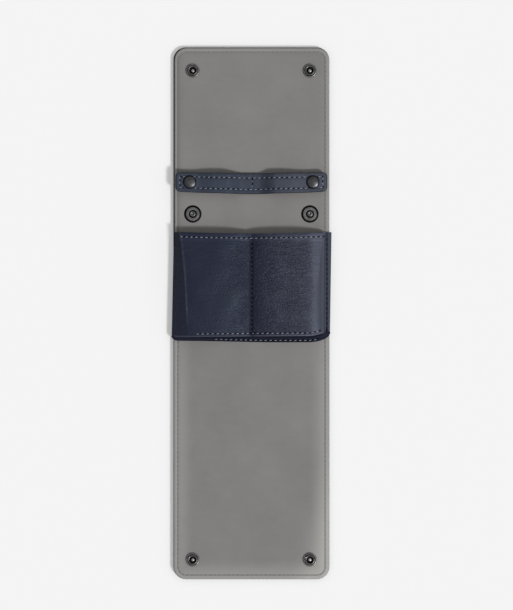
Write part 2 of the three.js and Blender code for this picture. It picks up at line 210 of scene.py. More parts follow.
floor_finish = Finish("floor", {
    "Base Color": [floor_level] * 3 + [1], "Roughness": 0.9, "Specular IOR Level": 0,
    "Emission Color": [1, 1, 1, 1], "Emission Strength": floor_glow,
})
floor_bm = grid(size=floor_size / 2)
ops.translate(floor_bm, vec=(0, 0, cad_low.z), verts=floor_bm.verts)
placed("floor", mesh_from("floor", floor_bm, [floor_finish.material]))

sun_data = bpy.data.lights.new("softbox", "SUN")
sun_data.energy = light_strength
sun_data.angle = light_softness
placed("softbox", sun_data).rotation_euler = (0, light_tilt, light_heading)

surround = Finish("surround", {"Color": [1, 1, 1, 1]}, "worlds", "Background")
scene.world = surround.material
sky_place = surround.node("ShaderNodeTexCoord", (), "Generated")
sky_z = surround.axis(sky_place, "Z")
sky_limits = surround_horizon, surround_zenith, surround_low, surround_high
sky_level = surround.fade(sky_z, *sky_limits, curve="LINEAR")
surround.feed("Strength", sky_level * (surround.axis(sky_place, "X") * surround_lean + 1))

# Outer leather of the panel: one long cut of navy leather with a fine pebbled grain, rounded corners and
# painted edges. It bends at four creases, so it is four pieces here, each with close cuts about one crease.
cool_reflection = [0.72, 0.82, 1, 1]


def in_mm(*numbers):
    return [number * mm for number in numbers]


def rgb(*levels):
    """A linear colour from its levels on screen."""
    return [((level / 255 + 0.055) / 1.055) ** 2.4 for level in levels] + [1]


def leather_finish(
    name, tone, crease_tone, grain_size, grain_depth, roughness, shine, wrinkle_depth=0, grain_mask=None,
    painted_light_tone=None, dark_mask=None, stretch=(0.75, 1.15, 1),
):
    """Dyed leather: pebbled grain sized in mm, slow changes of tone, wrinkles, painted shade and light."""
    steady = {"Roughness": roughness, "Specular IOR Level": shine, "Specular Tint": cool_reflection}
    finish = Finish(name, steady)
    grain_size, grain_depth = in_mm(grain_size, grain_depth)
    place = finish.place()
    cells = finish.stretched(finish.pushed(place, 1.3 * grain_size, 0.9 * grain_size), stretch)
    from_crease = finish.cells(cells, grain_size, "DISTANCE_TO_EDGE")
    domes = 1 - finish.cells(cells, grain_size, "SMOOTH_F1", Smoothness=0.35)
    fine = finish.clouds(place, 0.3 * grain_size)
    height = finish.fade(from_crease, 0, 0.4) * 0.5 + domes * 0.6 + fine * 0.2
    height = height + finish.clouds(place, 5 * grain_size) * 0.8
    # Painted shade: in_crease marks the grain's creases, which the colour below darkens towards crease_tone.
    in_crease = 1 - finish.fade(from_crease, 0, 0.3)
    if wrinkle_depth:
        waves = finish.clouds(finish.stretched(place, (0.22, 1, 1)), 3.2 * mm, 3, 0.6)
        wrinkles = 1 - finish.fade(abs(waves - 0.5), 0, 0.09)
        height = height - wrinkles * (wrinkle_depth * mm / grain_depth)
    if grain_mask:
        shown = grain_mask(finish, place)
        height, in_crease = height * shown, in_crease * shown.lesser(1)
    slow = finish.clouds(place, 22 * mm, 3)
    tone_here = finish.mixed(finish.fade(slow, 0.3, 0.7), tone, [1.2 * c for c in tone[:3]] + [1])
    # Painted light: the tone grows lighter towards the right, where the light falls.
    if painted_light_tone:
        painted_light_share = finish.fade(finish.axis(place, "X"), -20 * mm, 64 * mm)
        tone_here = finish.mixed(painted_light_share, tone_here, painted_light_tone)
    # dark_mask darkens more places towards crease_tone in the same way: painted shade on the pocket's walls
    # and seams, and a darker sewn edge on the gusset.
    if dark_mask:
        in_crease = in_crease.greater(dark_mask(finish, place) * 1.8)
    finish.coloured((in_crease * 0.5).lesser(0.9), tone_here, crease_tone)
    finish.feed("Roughness", roughness - 0.06 + fine * 0.12 + in_crease * 0.1)
    finish.embossed(height, grain_depth)
    return finish.material


def piece_from(name, bm, materials, slot, nodes=(), body=None, smooth_below=40):
    """A piece in place of its nodes. It keeps each point's place at rest for its finish."""
    mesh = mesh_from(name, bm, materials)
    place = mesh.attributes.new("rest_place", "FLOAT_VECTOR", "POINT")
    place.data.foreach_set("vector", [c for vertex in mesh.vertices for c in vertex.co])
    mesh.shade_smooth()
    mesh.set_sharp_from_angle(angle=radians(smooth_below))
    piece = placed(name, mesh)
    if nodes:
        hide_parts(*nodes)
    if body:
        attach(piece, body)
    return piece


outer_low, outer_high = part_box("outer_leather_back")
panel_half = outer_high.x
panel_low_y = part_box("outer_leather_bottom_flap")[0].y
panel_high_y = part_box("outer_leather_top_flap")[1].y
panel_corner, seam_inset, leather_roll = in_mm(9, 3.2, 0.5)
corner_steps = 9

outer_leather = leather_finish("outer_leather", rgb(28, 32, 48), rgb(18, 20, 32), 1.4, 0.1, 0.48, 0.28)
edge_paint = Finish("edge_paint", {"Roughness": 0.38, "Specular IOR Level": 0.45})
edge_speckle = edge_paint.clouds(edge_paint.place(), 0.9 * mm, 3)
edge_paint.coloured(edge_speckle, rgb(22, 23, 30), rgb(40, 42, 54))
edge_paint.embossed(edge_speckle, 0.05 * mm)


def panel_outline(inset=0):
    """Half width, low and high y and corner radius of the panel or inside it."""
    return panel_half - inset, panel_low_y + inset, panel_high_y - inset, panel_corner - inset


def rounded_sheet(z, half_width, low_y, high_y, radius):
    bm = grid()
    ops.scale(bm, vec=(half_width, (high_y - low_y) / 2, 1), verts=bm.verts)
    ops.translate(bm, vec=(0, (low_y + high_y) / 2, z), verts=bm.verts)
    corners = {"offset": radius, "segments": corner_steps, "profile": 0.5, "affect": "VERTICES"}
    ops.bevel(bm, geom=bm.verts[:], material=-1, **corners)
    return bm


def stepped_in(bm, face, steps):
    """Insets a face by steps, each a distance inwards and a rise in millimetres."""
    for inwards, rise in steps:
        step = {"thickness": inwards * mm, "depth": rise * mm}
        ops.inset_region(bm, faces=[face], use_even_offset=True, use_boundary=True, **step)


joint_y = {joint["name"]: joint["pos_m"][1] for joint in frame["joints"]}
joint_z = frame["joints"][0]["pos_m"][2]
middle_y = (joint_y["top_inner_fold"] + joint_y["bottom_inner_fold"]) / 2
top_spine_middle, bottom_spine_middle = (
    (joint_y[end + "_inner_fold"] + joint_y[end + "_outer_fold"]) / 2 for end in ("top", "bottom")
)
bend_reach = {"leather": 4.5 * mm, "lining": 2.4 * mm}
bend_cuts = 6
top_end, bottom_end = ("top_spine", "top_flap"), ("bottom_spine", "bottom_flap")
lengths = {
    "top_flap": (top_spine_middle, panel_high_y, "top_outer_fold", top_end, 1, top_end),
    "top_fold": (middle_y, top_spine_middle, "top_inner_fold", ("back", top_end[0]), 1, ["back"]),
    "bottom_fold": (bottom_spine_middle, middle_y, "bottom_inner_fold", ("back", bottom_end[0]), -1, []),
    "bottom_flap": (panel_low_y, bottom_spine_middle, "bottom_outer_fold", bottom_end, -1, bottom_end),
}


def cut(bm, y, **plane):
    geometry = bm.verts[:] + bm.edges[:] + bm.faces[:]
    ops.bisect_plane(bm, geom=geometry, plane_co=(0, y, 0), **plane)


def bend_across(piece, layer, length):
    joint, bodies, direction = lengths[length][2:5]
    start, end = ((0, joint_y[joint] + side * direction * bend_reach[layer], joint_z) for side in (-1, 1))
    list(bodies)
    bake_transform(piece)
    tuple(start)
    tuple(end)


def bent_length(layer, source, length, materials, name, slot, nodes):
    """One length of a layer, cut off square, with close cuts about its crease."""
    low_y, high_y, joint = lengths[length][:3]
    bm = source.copy()
    for y, side in ((low_y, -1), (high_y, 1)):
        if panel_low_y < y < panel_high_y:
            cut(bm, y, plane_no=(0, side, 0), clear_outer=True)
            ops.holes_fill(bm, edges=[edge for edge in bm.edges if edge.is_boundary], sides=0)
    for k in range(-bend_cuts, bend_cuts + 1):
        cut(bm, joint_y[joint] + bend_reach[layer] * k / bend_cuts, plane_no=(0, 1, 0))
    replaced = [nodes + part for part in lengths[length][5]]
    piece = piece_from(f"{name}_{length}", bm, materials, slot, replaced)
    bend_across(piece, layer, length)
    return piece


leather_wall = outer_high.z - outer_low.z - leather_roll
underside_roll = [(0.1, 0.25), (0.15, 0.15), (0.3, 0.1)]
underside_groove = [(2.3, 0), (0.2, -0.2), (0.3, 0), (0.2, 0.2), (1.2, 0)]
leather_bm = rounded_sheet(outer_low.z + leather_roll, *panel_outline())
raised = ops.extrude_face_region(leather_bm, geom=leather_bm.faces[:])["geom"]
raised_points = [item for item in raised if isinstance(item, bmesh.types.BMVert)]
ops.translate(leather_bm, vec=(0, 0, leather_wall), verts=raised_points)
ops.recalc_face_normals(leather_bm, faces=leather_bm.faces[:])
for face in leather_bm.faces:
    face.material_index = int(abs(face.normal.z) < 0.5)
under_face = min(leather_bm.faces, key=lambda face: face.calc_center_median().z)
upper_face = max(leather_bm.faces, key=lambda face: face.calc_center_median().z)
stepped_in(leather_bm, under_face, underside_roll + underside_groove)
stepped_in(leather_bm, upper_face, [(0.1, 0.05)])
for length in lengths:
    leathers = [outer_leather, edge_paint.material]
    bent_length("leather", leather_bm, length, leathers, "leather", "outer_leather", "outer_leather_")
leather_bm.free()

# Core: boards of pressed fibre between the leather and the lining, one for each stiff length of the panel,
# cut short of the creases so that the roll can fold. They stay inside and keep their plain shape.
core = Finish("fibre_core", {"Roughness": 0.92})
core_place = core.stretched(core.node("ShaderNodeTexCoord", (), "Object"), (1, 0.2, 1))
core_fibres = core.clouds(core_place, 0.8 * mm, 4, 0.7)
core.coloured(core_fibres, rgb(176, 160, 130), rgb(214, 200, 174))
core.embossed(core_fibres, 0.1 * mm)


def dress(node, finish):
    for material_slot in frame["nodes"][node].material_slots:
        material_slot.material = finish.material


for part in ("back", "top_spine", "top_flap", "bottom_spine", "bottom_flap"):
    dress("core_" + part, core)

# Lining: matt grey cloth with a short suede nap, rolled over the edge of the core and sewn down to the
# leather, so that a seam groove runs round it inside a soft rim.
suede = Finish("suede_lining", {"Roughness": 0.95, "Specular IOR Level": 0.12})
suede_lining = suede.material
suede_place = suede.place()
suede_x, suede_y = (suede.axis(suede_place, axis) for axis in "XY")
from_side = panel_half - abs(suede_x)
from_low_end, from_high_end = suede_y - panel_low_y, panel_high_y - suede_y
corner_x = (panel_corner - from_side).greater(0)
corner_y = (panel_corner - from_low_end.lesser(from_high_end)).greater(0)
corner_distance = panel_corner - (corner_x * corner_x + corner_y * corner_y) ** 0.5
straight_distance = from_side.lesser(from_low_end).lesser(from_high_end)
in_from_edge = corner_distance.lesser(straight_distance)
# Painted shade darkens the seam groove, less so near the upper end.
seam_shade = 1 - suede.fade(abs(in_from_edge - seam_inset), 0.1 * mm, 0.5 * mm)
seam_shade = seam_shade * suede.fade(from_high_end, 4 * mm, 9 * mm, 0.25, 1)
# Painted light brightens the rim, a band inside the edge on the lower half, and the lower right corner.
rim_light = 1 - suede.fade(in_from_edge, seam_inset - 0.6 * mm, seam_inset)
inner_light = 1 - suede.fade(straight_distance, seam_inset, 15 * mm)
low_half = suede.fade(suede_y, -60 * mm, 20 * mm, 1, 0)
rim_light = (rim_light * (0.45 + low_half * 0.3)).greater(inner_light * low_half * 0.55)
nap = suede.clouds(suede_place, 0.25 * mm, 3, 0.7)
patches = suede.clouds(suede_place, 30 * mm, 3, 0.55)
brushed = suede.clouds(suede.stretched(suede_place, (0.35, 1, 1)), 3.5 * mm, 3, 0.6)
lit_corner = suede.fade(suede_x / panel_half - suede_y / panel_high_y, 1.4, 1.95)
nap_share = (nap * 0.5 + patches * 0.8 + brushed * 0.25 - 0.25).greater(0).lesser(1)
suede_colour = suede.mixed(nap_share, rgb(117, 116, 115), rgb(136, 135, 133))
suede_colour = suede.mixed((rim_light * 0.75 + lit_corner * 0.7).lesser(1), suede_colour, rgb(164, 163, 160))
suede.coloured(seam_shade * 0.75, suede_colour, rgb(84, 83, 82))
suede.embossed(nap * 0.5 + brushed * 0.6 + patches * 3, 0.1 * mm, 0.7)

lining_thickness = 0.5 * mm
lining_steps = [
    (0.05, 0.75), (0.2, 0.5), (0.4, 0.35), (0.65, 0.18), (0.95, 0.02), (0.4, -0.08), (0.2, -0.18), (0.15, 0),
    (0.2, 0.12), (0.6, 0.2), (1, 0.16), (1.4, 0.08),
]
lining_short_by = 0.2 * mm
upper_lining_start = middle_y + 11 * mm
lining_bm = rounded_sheet(outer_high.z + 0.1 * mm, *panel_outline(lining_short_by))
lining_face = lining_bm.faces[:][0]
stepped_in(lining_bm, lining_face, lining_steps)
rise_left = (lining_top - lining_face.calc_center_median().z) / mm
stepped_in(lining_bm, lining_face, [(0.6, rise_left), (0.6, 0)])
ops.solidify(lining_bm, geom=lining_bm.faces[:], thickness=lining_thickness)
for y in (middle_y, upper_lining_start):
    cut(lining_bm, y, plane_no=(0, 1, 0))


def eased(share):
    share = min(max(share, 0), 1)
    return share * share * (3 - 2 * share)


def lining_shift(x, y):
    """The upper lining lies to the right and is drawn in, so that the leather shows at its left."""
    upper = min(max((y - middle_y) / (upper_lining_start - middle_y), 0), 1)
    end = 0.25 * eased((y - panel_high_y + 2 * panel_corner) / panel_corner)
    return Vector((upper * (0.4 - 0.25 * x / panel_half), -end, 0)) * mm


for vertex in lining_bm.verts:
    vertex.co += lining_shift(vertex.co.x, vertex.co.y)
for length, (low_y, high_y, *_) in lengths.items():
    piece = bent_length("lining", lining_bm, length, [suede_lining], "suede", "suede_lining", "lining_")
lining_bm.free()

# Panel stitching: grey waxed thread in a saddle stitch all round, sunk into the seam groove of the lining and
# into the one on the outside, where it is navy.
stitch_pitch, thread_width = 3.3 * mm, 0.5 * mm
stitch_share = 0.74
stitch_slant = radians(9)


def thread_finish(name, dark, light):
    finish = Finish(name, {"Roughness": 0.6, "Specular IOR Level": 0.3})
    strands = finish.clouds(finish.place(), 0.3 * mm)
    finish.coloured(finish.fade(strands, 0.35, 0.65), dark, light)
    finish.embossed(strands, 0.04 * mm)
    return finish.material


bead_bm = bmesh.new()
ops.create_uvsphere(bead_bm, u_segments=8, v_segments=6, radius=1)
bead_bm.verts.index_update()
bead_points = [vertex.co.copy() for vertex in bead_bm.verts]
bead_faces = [[vertex.index for vertex in face.verts] for face in bead_bm.faces]
bead_bm.free()


def add_bead(bm, middle, turn, size, material_index):
    shape = Matrix.Translation(middle) @ turn @ Matrix.Diagonal((*size, 1))
    points = [bm.verts.new(shape @ point) for point in bead_points]
    for corners in bead_faces:
        bm.faces.new([points[corner] for corner in corners]).material_index = material_index


def sew(bm, start, end, width, gap=0, thread_index=0):
    """One stitch: a bead of thread, and behind it a near-black slot into which it dips, painted shade of its
    hole.
    """
    along = end - start
    turn = along.to_track_quat("Z", "Y").to_matrix().to_4x4()
    add_bead(bm, (start + end) / 2, turn, (width / 2, width / 2, along.length / 2), thread_index)
    if gap:
        slot_middle = end + along.normalized() * gap / 2 - Vector((0, 0, width / 4))
        add_bead(bm, slot_middle, turn, (0.9 * width, 0.5 * width, 0.66 * gap), 1)


def seam_round(pitch, half_width, low_y, high_y, radius):
    """Points and headings of stitches round a rounded rectangle, anticlockwise from its right side."""
    sizes = (high_y - low_y - 2 * radius, 2 * (half_width - radius)) * 2
    corners = [
        (half_width, low_y + radius), (half_width - radius, high_y),
        (-half_width, high_y - radius), (radius - half_width, low_y),
    ]
    headings = [(0, 1), (-1, 0), (0, -1), (1, 0)]
    quarter = radius * pi / 2
    way_round = sum(sizes) + 4 * quarter
    step = way_round / round(way_round / pitch)
    travelled = step / 2
    for start, heading, length in zip(map(Vector, corners), map(Vector, headings), sizes):
        inwards = Vector((-heading.y, heading.x))
        while travelled < length + quarter:
            if travelled < length:
                yield start + heading * travelled, heading
            else:
                angle = (travelled - length) / radius
                centre = start + heading * length + inwards * radius
                out = heading * sin(angle) - inwards * cos(angle)
                yield centre + out * radius, heading * cos(angle) + inwards * sin(angle)
            travelled += step
        travelled -= length + quarter


# Near black: painted shade of the needle holes; the bar stitches and the knot on the pocket's flange use it
# too.
needle_hole = Finish("needle_hole", {"Roughness": 0.9, "Specular IOR Level": 0.1})
needle_hole.coloured(needle_hole.clouds(needle_hole.place(), 0.5 * mm), rgb(8, 8, 13), rgb(18, 19, 28))
grey_thread = thread_finish("grey_thread", rgb(112, 111, 108), rgb(158, 156, 152))
navy_thread = thread_finish("navy_thread", rgb(92, 96, 110), rgb(160, 164, 178))
deep_navy_thread = thread_finish("deep_navy_thread", rgb(44, 48, 64), rgb(92, 98, 118))
seams = {
    "lining": (lining_top - 0.47 * mm, "suede_lining", grey_thread),
    "leather": (outer_low.z + 0.18 * mm, "outer_leather", navy_thread),
}
for layer, (z, slot, thread) in seams.items():
    hand = random.Random(7)
    threads = {length: bmesh.new() for length in lengths}
    for point, heading in seam_round(stitch_pitch, *panel_outline(seam_inset)):
        slanted = Matrix.Rotation(stitch_slant + hand.uniform(-0.05, 0.05), 2) @ heading
        reach = slanted * stitch_pitch * stitch_share * hand.uniform(0.47, 0.53)
        length = next(name for name, (low_y, high_y, *_) in lengths.items() if low_y <= point.y <= high_y)
        shift = Vector((0, 0, z)) + (lining_shift(*point) if layer == "lining" else Vector())
        sew(threads[length], (point - reach).to_3d() + shift, (point + reach).to_3d() + shift, thread_width)
    for length, thread_bm in threads.items():
        bend_across(piece_from(f"{layer}_thread_{length}", thread_bm, [thread], slot), layer, length)

# Pocket front: one navy cut, turned over at its mouth, formed over both compartments, sewn down at its sides
# and, along the valley in the middle, to the divider. Its left wall leans out over its flange and the right
# one doesn't. Values in pairs are for the mouth and the foot, and -1 and 1 stand for the left and the right.
pocket_low, pocket_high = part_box("pocket_front")
pocket_floor, mouth_y, foot_y = pocket_low.z, pocket_high.y, pocket_low.y
pocket_length = mouth_y - foot_y
front_ply = 1.25 * mm
crown_x = 27.5 * mm
crown_height, pocket_bulge = in_mm(12, 10), 1.75 * mm
seam_dip, seam_dip_power = 4.5 * mm, 3
hem_depth, hem_rise, mouth_seam_depth, foot_seam_rise = in_mm(4.7, 0.28, 3.35, 1.1)
side_seam_x = 53.9 * mm
wall_foot = {-1: in_mm(55, 56.6), 1: in_mm(52.9, 52.6)}
flange_end = {-1: in_mm(55.6, 57.1), 1: in_mm(57.5, 56.4)}
crest_x, crest_turn = {-1: in_mm(50.9, 46.4), 1: in_mm(51.8, 45.6)}, {-1: 2.2, 1: 1.9}
crest_drop, crest_drop_power = {-1: in_mm(1.3, 1.3), 1: in_mm(4.6, 2.8)}, 2.4
crest_rise, crest_spread = {-1: 0.35 * mm, 1: 0.1 * mm}, {-1: 0.7 * mm, 1: 1.6 * mm}
wall_belly_x, wall_belly_drop = {-1: 0.45, 1: 0.85}, {-1: 0.3, 1: 0.2}
sides = {"left": -1, "right": 1}


def side_of(x):
    return 1 if x >= 0 else -1


def between(pair, share):
    return pair[0] + (pair[1] - pair[0]) * share


def bell(distance, spread):
    return exp(-((distance / spread) ** 2))


def crest_at(side, share):
    """A side's crest turns inwards below the mouth and then runs nearly straight down."""
    return between(crest_x[side], 1 - max(1 - share, 0) ** crest_turn[side])


def crown_top(share):
    return between(crown_height, share) + pocket_bulge * sin(pi * share)


def pocket_top(across, side, share):
    """Height of the front above the pocket's floor, from the middle seam out to a crest."""
    if across <= crown_x:
        return crown_top(share) - seam_dip * (1 - across / crown_x) ** seam_dip_power
    out = (across - crown_x) / (crest_at(side, share) - crown_x)
    return crown_top(share) - between(crest_drop[side], share) * out**crest_drop_power


def pocket_wall(side, share):
    """The points that draw a side wall: its crest, the belly between, and its foot."""
    crest, foot = crest_at(side, share), between(wall_foot[side], share)
    high = pocket_top(crest, side, share)
    belly_z = high - (high - front_ply) * wall_belly_drop[side]
    return (crest, high), (crest + (foot - crest) * wall_belly_x[side], belly_z), (foot, front_ply)


def along_wall(side, share, travel):
    """Place across and height on a side wall, from 0 at its crest to 1 at its foot."""
    points = pocket_wall(side, share)
    weights = ((1 - travel) ** 2, 2 * travel * (1 - travel), travel**2)
    return tuple(sum(weight * point[axis] for weight, point in zip(weights, points)) for axis in range(2))


def pocket_rise(x, share):
    side = side_of(x)
    if abs(x) <= crest_at(side, share):
        return pocket_top(abs(x), side, share)
    (crest, _), (belly, _), (foot, _) = pocket_wall(side, share)
    square, linear, rest = crest - 2 * belly + foot, 2 * (belly - crest), crest - abs(x)
    travel = 2 * rest / (-linear - sqrt(max(linear**2 - 4 * square * rest, 0)))
    return along_wall(side, share, min(travel, 1))[1]


def mouth_line(x):
    """The lip dips a little towards the middle, where the seam draws it in."""
    return mouth_y + (1.2 * (abs(x) / panel_half) ** 2 - 0.5) * mm


def foot_line(x):
    """The foot seam runs and curves up to the right and is rounded off at the left."""
    into_corners = 2.3 * eased((x / mm - 42) / 13) + 1.1 * max(-x / mm - 52.5, 0) ** 2 / 20
    return foot_y + (0.5 * x / panel_half + into_corners) * mm


def pocket_relief(x, y, share):
    """Hem, seam valleys, folds along the crests, slow waves and wrinkles, drawn in millimetres."""
    side = side_of(x)
    fold = crest_rise[side] * bell(abs(x) - crest_at(side, share), crest_spread[side]) / mm
    from_hem, from_lip_seam = (mouth_y - y - hem_depth) / mm, (mouth_y - y - mouth_seam_depth) / mm
    from_foot_seam = (y - foot_line(x) - foot_seam_rise) / mm
    x, y, from_mouth, from_foot = x / mm, y / mm, (mouth_y - y) / mm, (y - foot_y) / mm
    relief = fold * (1 - eased((share - 0.7) / 0.3)) + hem_rise / mm * (1 - eased(from_hem / 0.6))
    relief -= 0.55 * max(1 - from_mouth / 0.7, 0) ** 2 + 0.8 * bell(x, 0.8) * eased(from_hem / 1.5)
    relief -= 0.3 * bell(from_lip_seam, 0.55) + 0.25 * bell(from_foot_seam, 0.5)
    wrinkled = 0.35 + 0.65 * eased((x + 15) / 30)
    waves = 0.45 * noise.noise(Vector((x, y, 0)) / 15)
    waves += 0.12 * wrinkled * noise.noise(Vector((x / 9, y / 3.2, 3)))
    return (relief + waves * eased(from_mouth / 8) * eased(from_foot / 5)) * mm


def on_floor(x, y, height):
    return Vector((x, y, pocket_floor + height))


def pocket_place(x, y):
    share = min(max((mouth_y - y) / pocket_length, 0), 1)
    return on_floor(x, y, pocket_rise(x, share) + pocket_relief(x, y, share))


crown_column, crest_column, foot_column, half_columns = 34, 60, 80, 86
pocket_rows = 92


def front_point(out_share, share):
    """Out from the middle seam: over the compartment, down its wall and along its flange."""
    side = side_of(out_share)
    step = abs(out_share * half_columns)
    fall = 0
    if step <= crown_column:
        across = crown_x * (step / crown_column) ** 1.15
    elif step <= crest_column:
        out = (step - crown_column) / (crest_column - crown_column)
        across = crown_x + (crest_at(side, share) - crown_x) * (1 - (1 - out) ** 1.3)
    elif step <= foot_column:
        fall = (step - crest_column) / (foot_column - crest_column)
        across, lift = along_wall(side, share, fall)
    else:
        fall = 1
        out = (step - foot_column) / (half_columns - foot_column)
        across = between((between(wall_foot[side], share), between(flange_end[side], share)), out)
        lift = front_ply - 0.45 * mm * out - 0.35 * mm * bell(across - side_seam_x, 0.5 * mm)
    if not fall:
        lift = pocket_top(across, side, share)
    x = side * across
    y = mouth_line(x) + (foot_line(x) - mouth_line(x)) * share
    return on_floor(x, y, lift + pocket_relief(x, y, share) * (1 - eased(fall)))


def formed(columns, rows, point, thickness=0, finish_of=lambda middle: 0):
    """A grid, with each corner where point says for its place across and its share down."""
    bm = grid(columns, rows)
    for vertex in bm.verts:
        vertex.co = point(vertex.co.x, (1 - vertex.co.y) / 2)
    bm.normal_update()
    for face in bm.faces:
        face.material_index = finish_of(face.calc_center_median())
    if thickness:
        ops.solidify(bm, geom=bm.faces[:], thickness=thickness)
    return bm


def fade_along(axis, *limits):
    """A mask that fades along one axis, between two places and from one strength to another."""
    return lambda finish, place: finish.fade(finish.axis(place, axis), *limits)


def grain_here(finish, place):
    """The grain is flat on the left, at the mouth and at the right crest, and boldest on the right."""
    x, y = (finish.axis(place, axis) for axis in "XY")
    bold = finish.fade(x, -20 * mm, -5 * mm, 0.35, 1.1) + finish.fade(x, 2 * mm, 22 * mm, 0, 1.4)
    bold = bold * finish.fade(x, 39 * mm, 45 * mm, 1, 0.2)
    bold = bold * finish.fade(y, mouth_y - 8 * mm, mouth_y - 5 * mm, 1, 0.35)
    return bold * finish.fade(finish.clouds(place, 16 * mm), 0.3, 0.6, 0.7, 1.3)


def side_seam_shade(finish, place):
    past_seam = finish.axis(place, "X") - side_seam_x
    rising = finish.fade(past_seam, -1.2 * mm, -0.4 * mm, 0, 0.85)
    return rising * finish.fade(past_seam, 0.4 * mm, 1.3 * mm, 1, 0.35)


# Faces beyond a crest take a wall's own copy of the leather, with its own painted shade.
def front_finish_of(middle):
    side = side_of(middle.x)
    beyond = abs(middle.x) > crest_at(side, (mouth_y - middle.y) / pocket_length) + 0.3 * mm
    return {-1: 1, 1: 2}[side] if beyond else 0


# Painted light: the pocket's leather grows lighter towards the right, where the light falls.
pocket_leather = leather_finish(
    "pocket_leather", rgb(25, 29, 46), rgb(14, 16, 29), 1.6, 0.2, 0.44, 0.28,
    wrinkle_depth=0.13, grain_mask=grain_here, painted_light_tone=rgb(77, 80, 93), stretch=(0.85, 1.1, 1),
)
# The left wall has its own copy of the leather that reflects less, and painted shade darkens it towards the
# mouth.
left_wall_leather = leather_finish(
    "left_wall_leather", rgb(45, 48, 63), rgb(24, 26, 39), 1.3, 0.1, 0.62, 0.06,
    dark_mask=fade_along("Y", mouth_y - 26 * mm, mouth_y - 4 * mm, 0, 0.65),
)
# The right wall's painted light is a darker tone than the front's, as painted shade on that side, and
# side_seam_shade adds painted shade along its seam.
right_wall_leather = leather_finish(
    "right_wall_leather", rgb(25, 29, 46), rgb(14, 16, 29), 1.3, 0.07, 0.44, 0.28,
    grain_mask=fade_along("X", 46 * mm, 53 * mm, 0.2, 0.5), painted_light_tone=rgb(66, 69, 81),
    dark_mask=side_seam_shade,
)
front_bm = formed(2 * half_columns, pocket_rows, front_point, front_ply, front_finish_of)
front_leathers = [pocket_leather, left_wall_leather, right_wall_leather]
piece_from("pocket_front_leather", front_bm, front_leathers, "pocket_leather", ["pocket_front"], "back")

# Pocket gusset: a narrow band sewn to the foot of the front with a piped seam. It drops steeply to the
# lining, turns out flat and is sewn down along its own edge, rounded up to the side seams at both corners.
gusset_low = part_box("pocket_gusset")[0]
gusset_rows, wall_rows, piping_rows = 22, 12, 10
gusset_thickness, gusset_run, piping_radius = in_mm(0.7, 2.4, 0.62)
corner_run, corner_lift = {-1: 4.6 * mm, 1: 16 * mm}, {-1: 3 * mm, 1: 6.8 * mm}
gusset_slope, gusset_bow = in_mm(1.1, 0.45)


def gusset_edge(x):
    """The band's sewn edge runs up a little to the left, and is rounded up at both ends."""
    side = side_of(x)
    end = between(flange_end[side], 1)
    into_corner = min(max(0, (abs(x) - end + corner_run[side]) / corner_run[side]), 1)
    lean = gusset_slope * (0.5 - x / (2 * panel_half)) - gusset_bow * bell(x - 12 * mm, 28 * mm)
    return gusset_low.y + lean + corner_lift[side] * (1 - sqrt(1 - into_corner**2))


def gusset_point(out_share, down_share):
    """Down from the foot seam to the lining, and out flat to the sewn edge."""
    row = gusset_rows * down_share
    top = front_point(out_share, 1)
    flange_top = min(pocket_floor + 0.95 * mm, top.z)
    edge_y = gusset_edge(top.x)
    run = min(gusset_run, 0.55 * (top.y - edge_y))
    if row <= wall_rows:
        share = row / wall_rows
        return Vector((top.x, top.y - run * share, flange_top + (top.z - flange_top) * (1 - eased(share))))
    share = (row - wall_rows) / (gusset_rows - wall_rows)
    z = flange_top - 0.2 * mm * bell(share - 0.45, 0.25) - 0.3 * mm * share**4
    return Vector((top.x, top.y - run + (edge_y - top.y + run) * share, z))


def piping_point(out_share, turn):
    top = front_point(out_share, 1)
    thinner = 0.3 + 0.7 * eased((top.z - pocket_floor - front_ply) / (3 * mm))
    angle = 2 * pi * turn
    across = Vector((0, cos(angle), sin(angle))) * piping_radius * thinner
    return top + Vector((0, -0.45 * mm, -0.35 * mm)) + across


gusset_leather = leather_finish(
    "gusset_leather", rgb(28, 30, 44), rgb(15, 17, 28), 1.3, 0.08, 0.55, 0.12,
    dark_mask=fade_along("Y", gusset_low.y + 1 * mm, gusset_low.y + 1.5 * mm, 1, 0),
)
gusset_bm = formed(2 * half_columns, gusset_rows, gusset_point, gusset_thickness)
piece_from("pocket_gusset_band", gusset_bm, [gusset_leather], "pocket_leather", ["pocket_gusset"], "back")

# Painted highlight: the piping is lighter than the pocket's leather, and lighter still towards the right.
piping_highlight_leather = leather_finish(
    "piping_highlight_leather", rgb(58, 61, 74), rgb(40, 43, 56), 0.9, 0.04, 0.4, 0.4, painted_light_tone=rgb(88, 92, 106)
)
piping_bm = formed(2 * half_columns, piping_rows, piping_point)
ops.remove_doubles(piping_bm, verts=piping_bm.verts[:], dist=0.002 * mm)
ops.holes_fill(piping_bm, edges=[edge for edge in piping_bm.edges if edge.is_boundary], sides=0)
ops.recalc_face_normals(piping_bm, faces=piping_bm.faces[:])
piece_from("pocket_piping", piping_bm, [piping_highlight_leather], "pocket_leather", body="back")

# Pocket stitching: navy saddle stitch below the lip, down the middle seam, along the foot, on the band's edge
# and down the right flange, where a bar of tight stitches locks its end.
pocket_pitch, pocket_stitch, row_width = in_mm(3.6, 1.95, 0.6)
stitch_lift = Vector((0, 0, 0.12 * mm))
gusset_seam_rise = 1.35 * mm
middle_seam_x = 0.3 * mm
bar_stitches, bar_step, bar_reach = 5, 0.45 * mm, 0.9 * mm
hand = random.Random(11)
row_bm = bmesh.new()


def above_floor(height):
    return lambda x, y: on_floor(x, y, height)


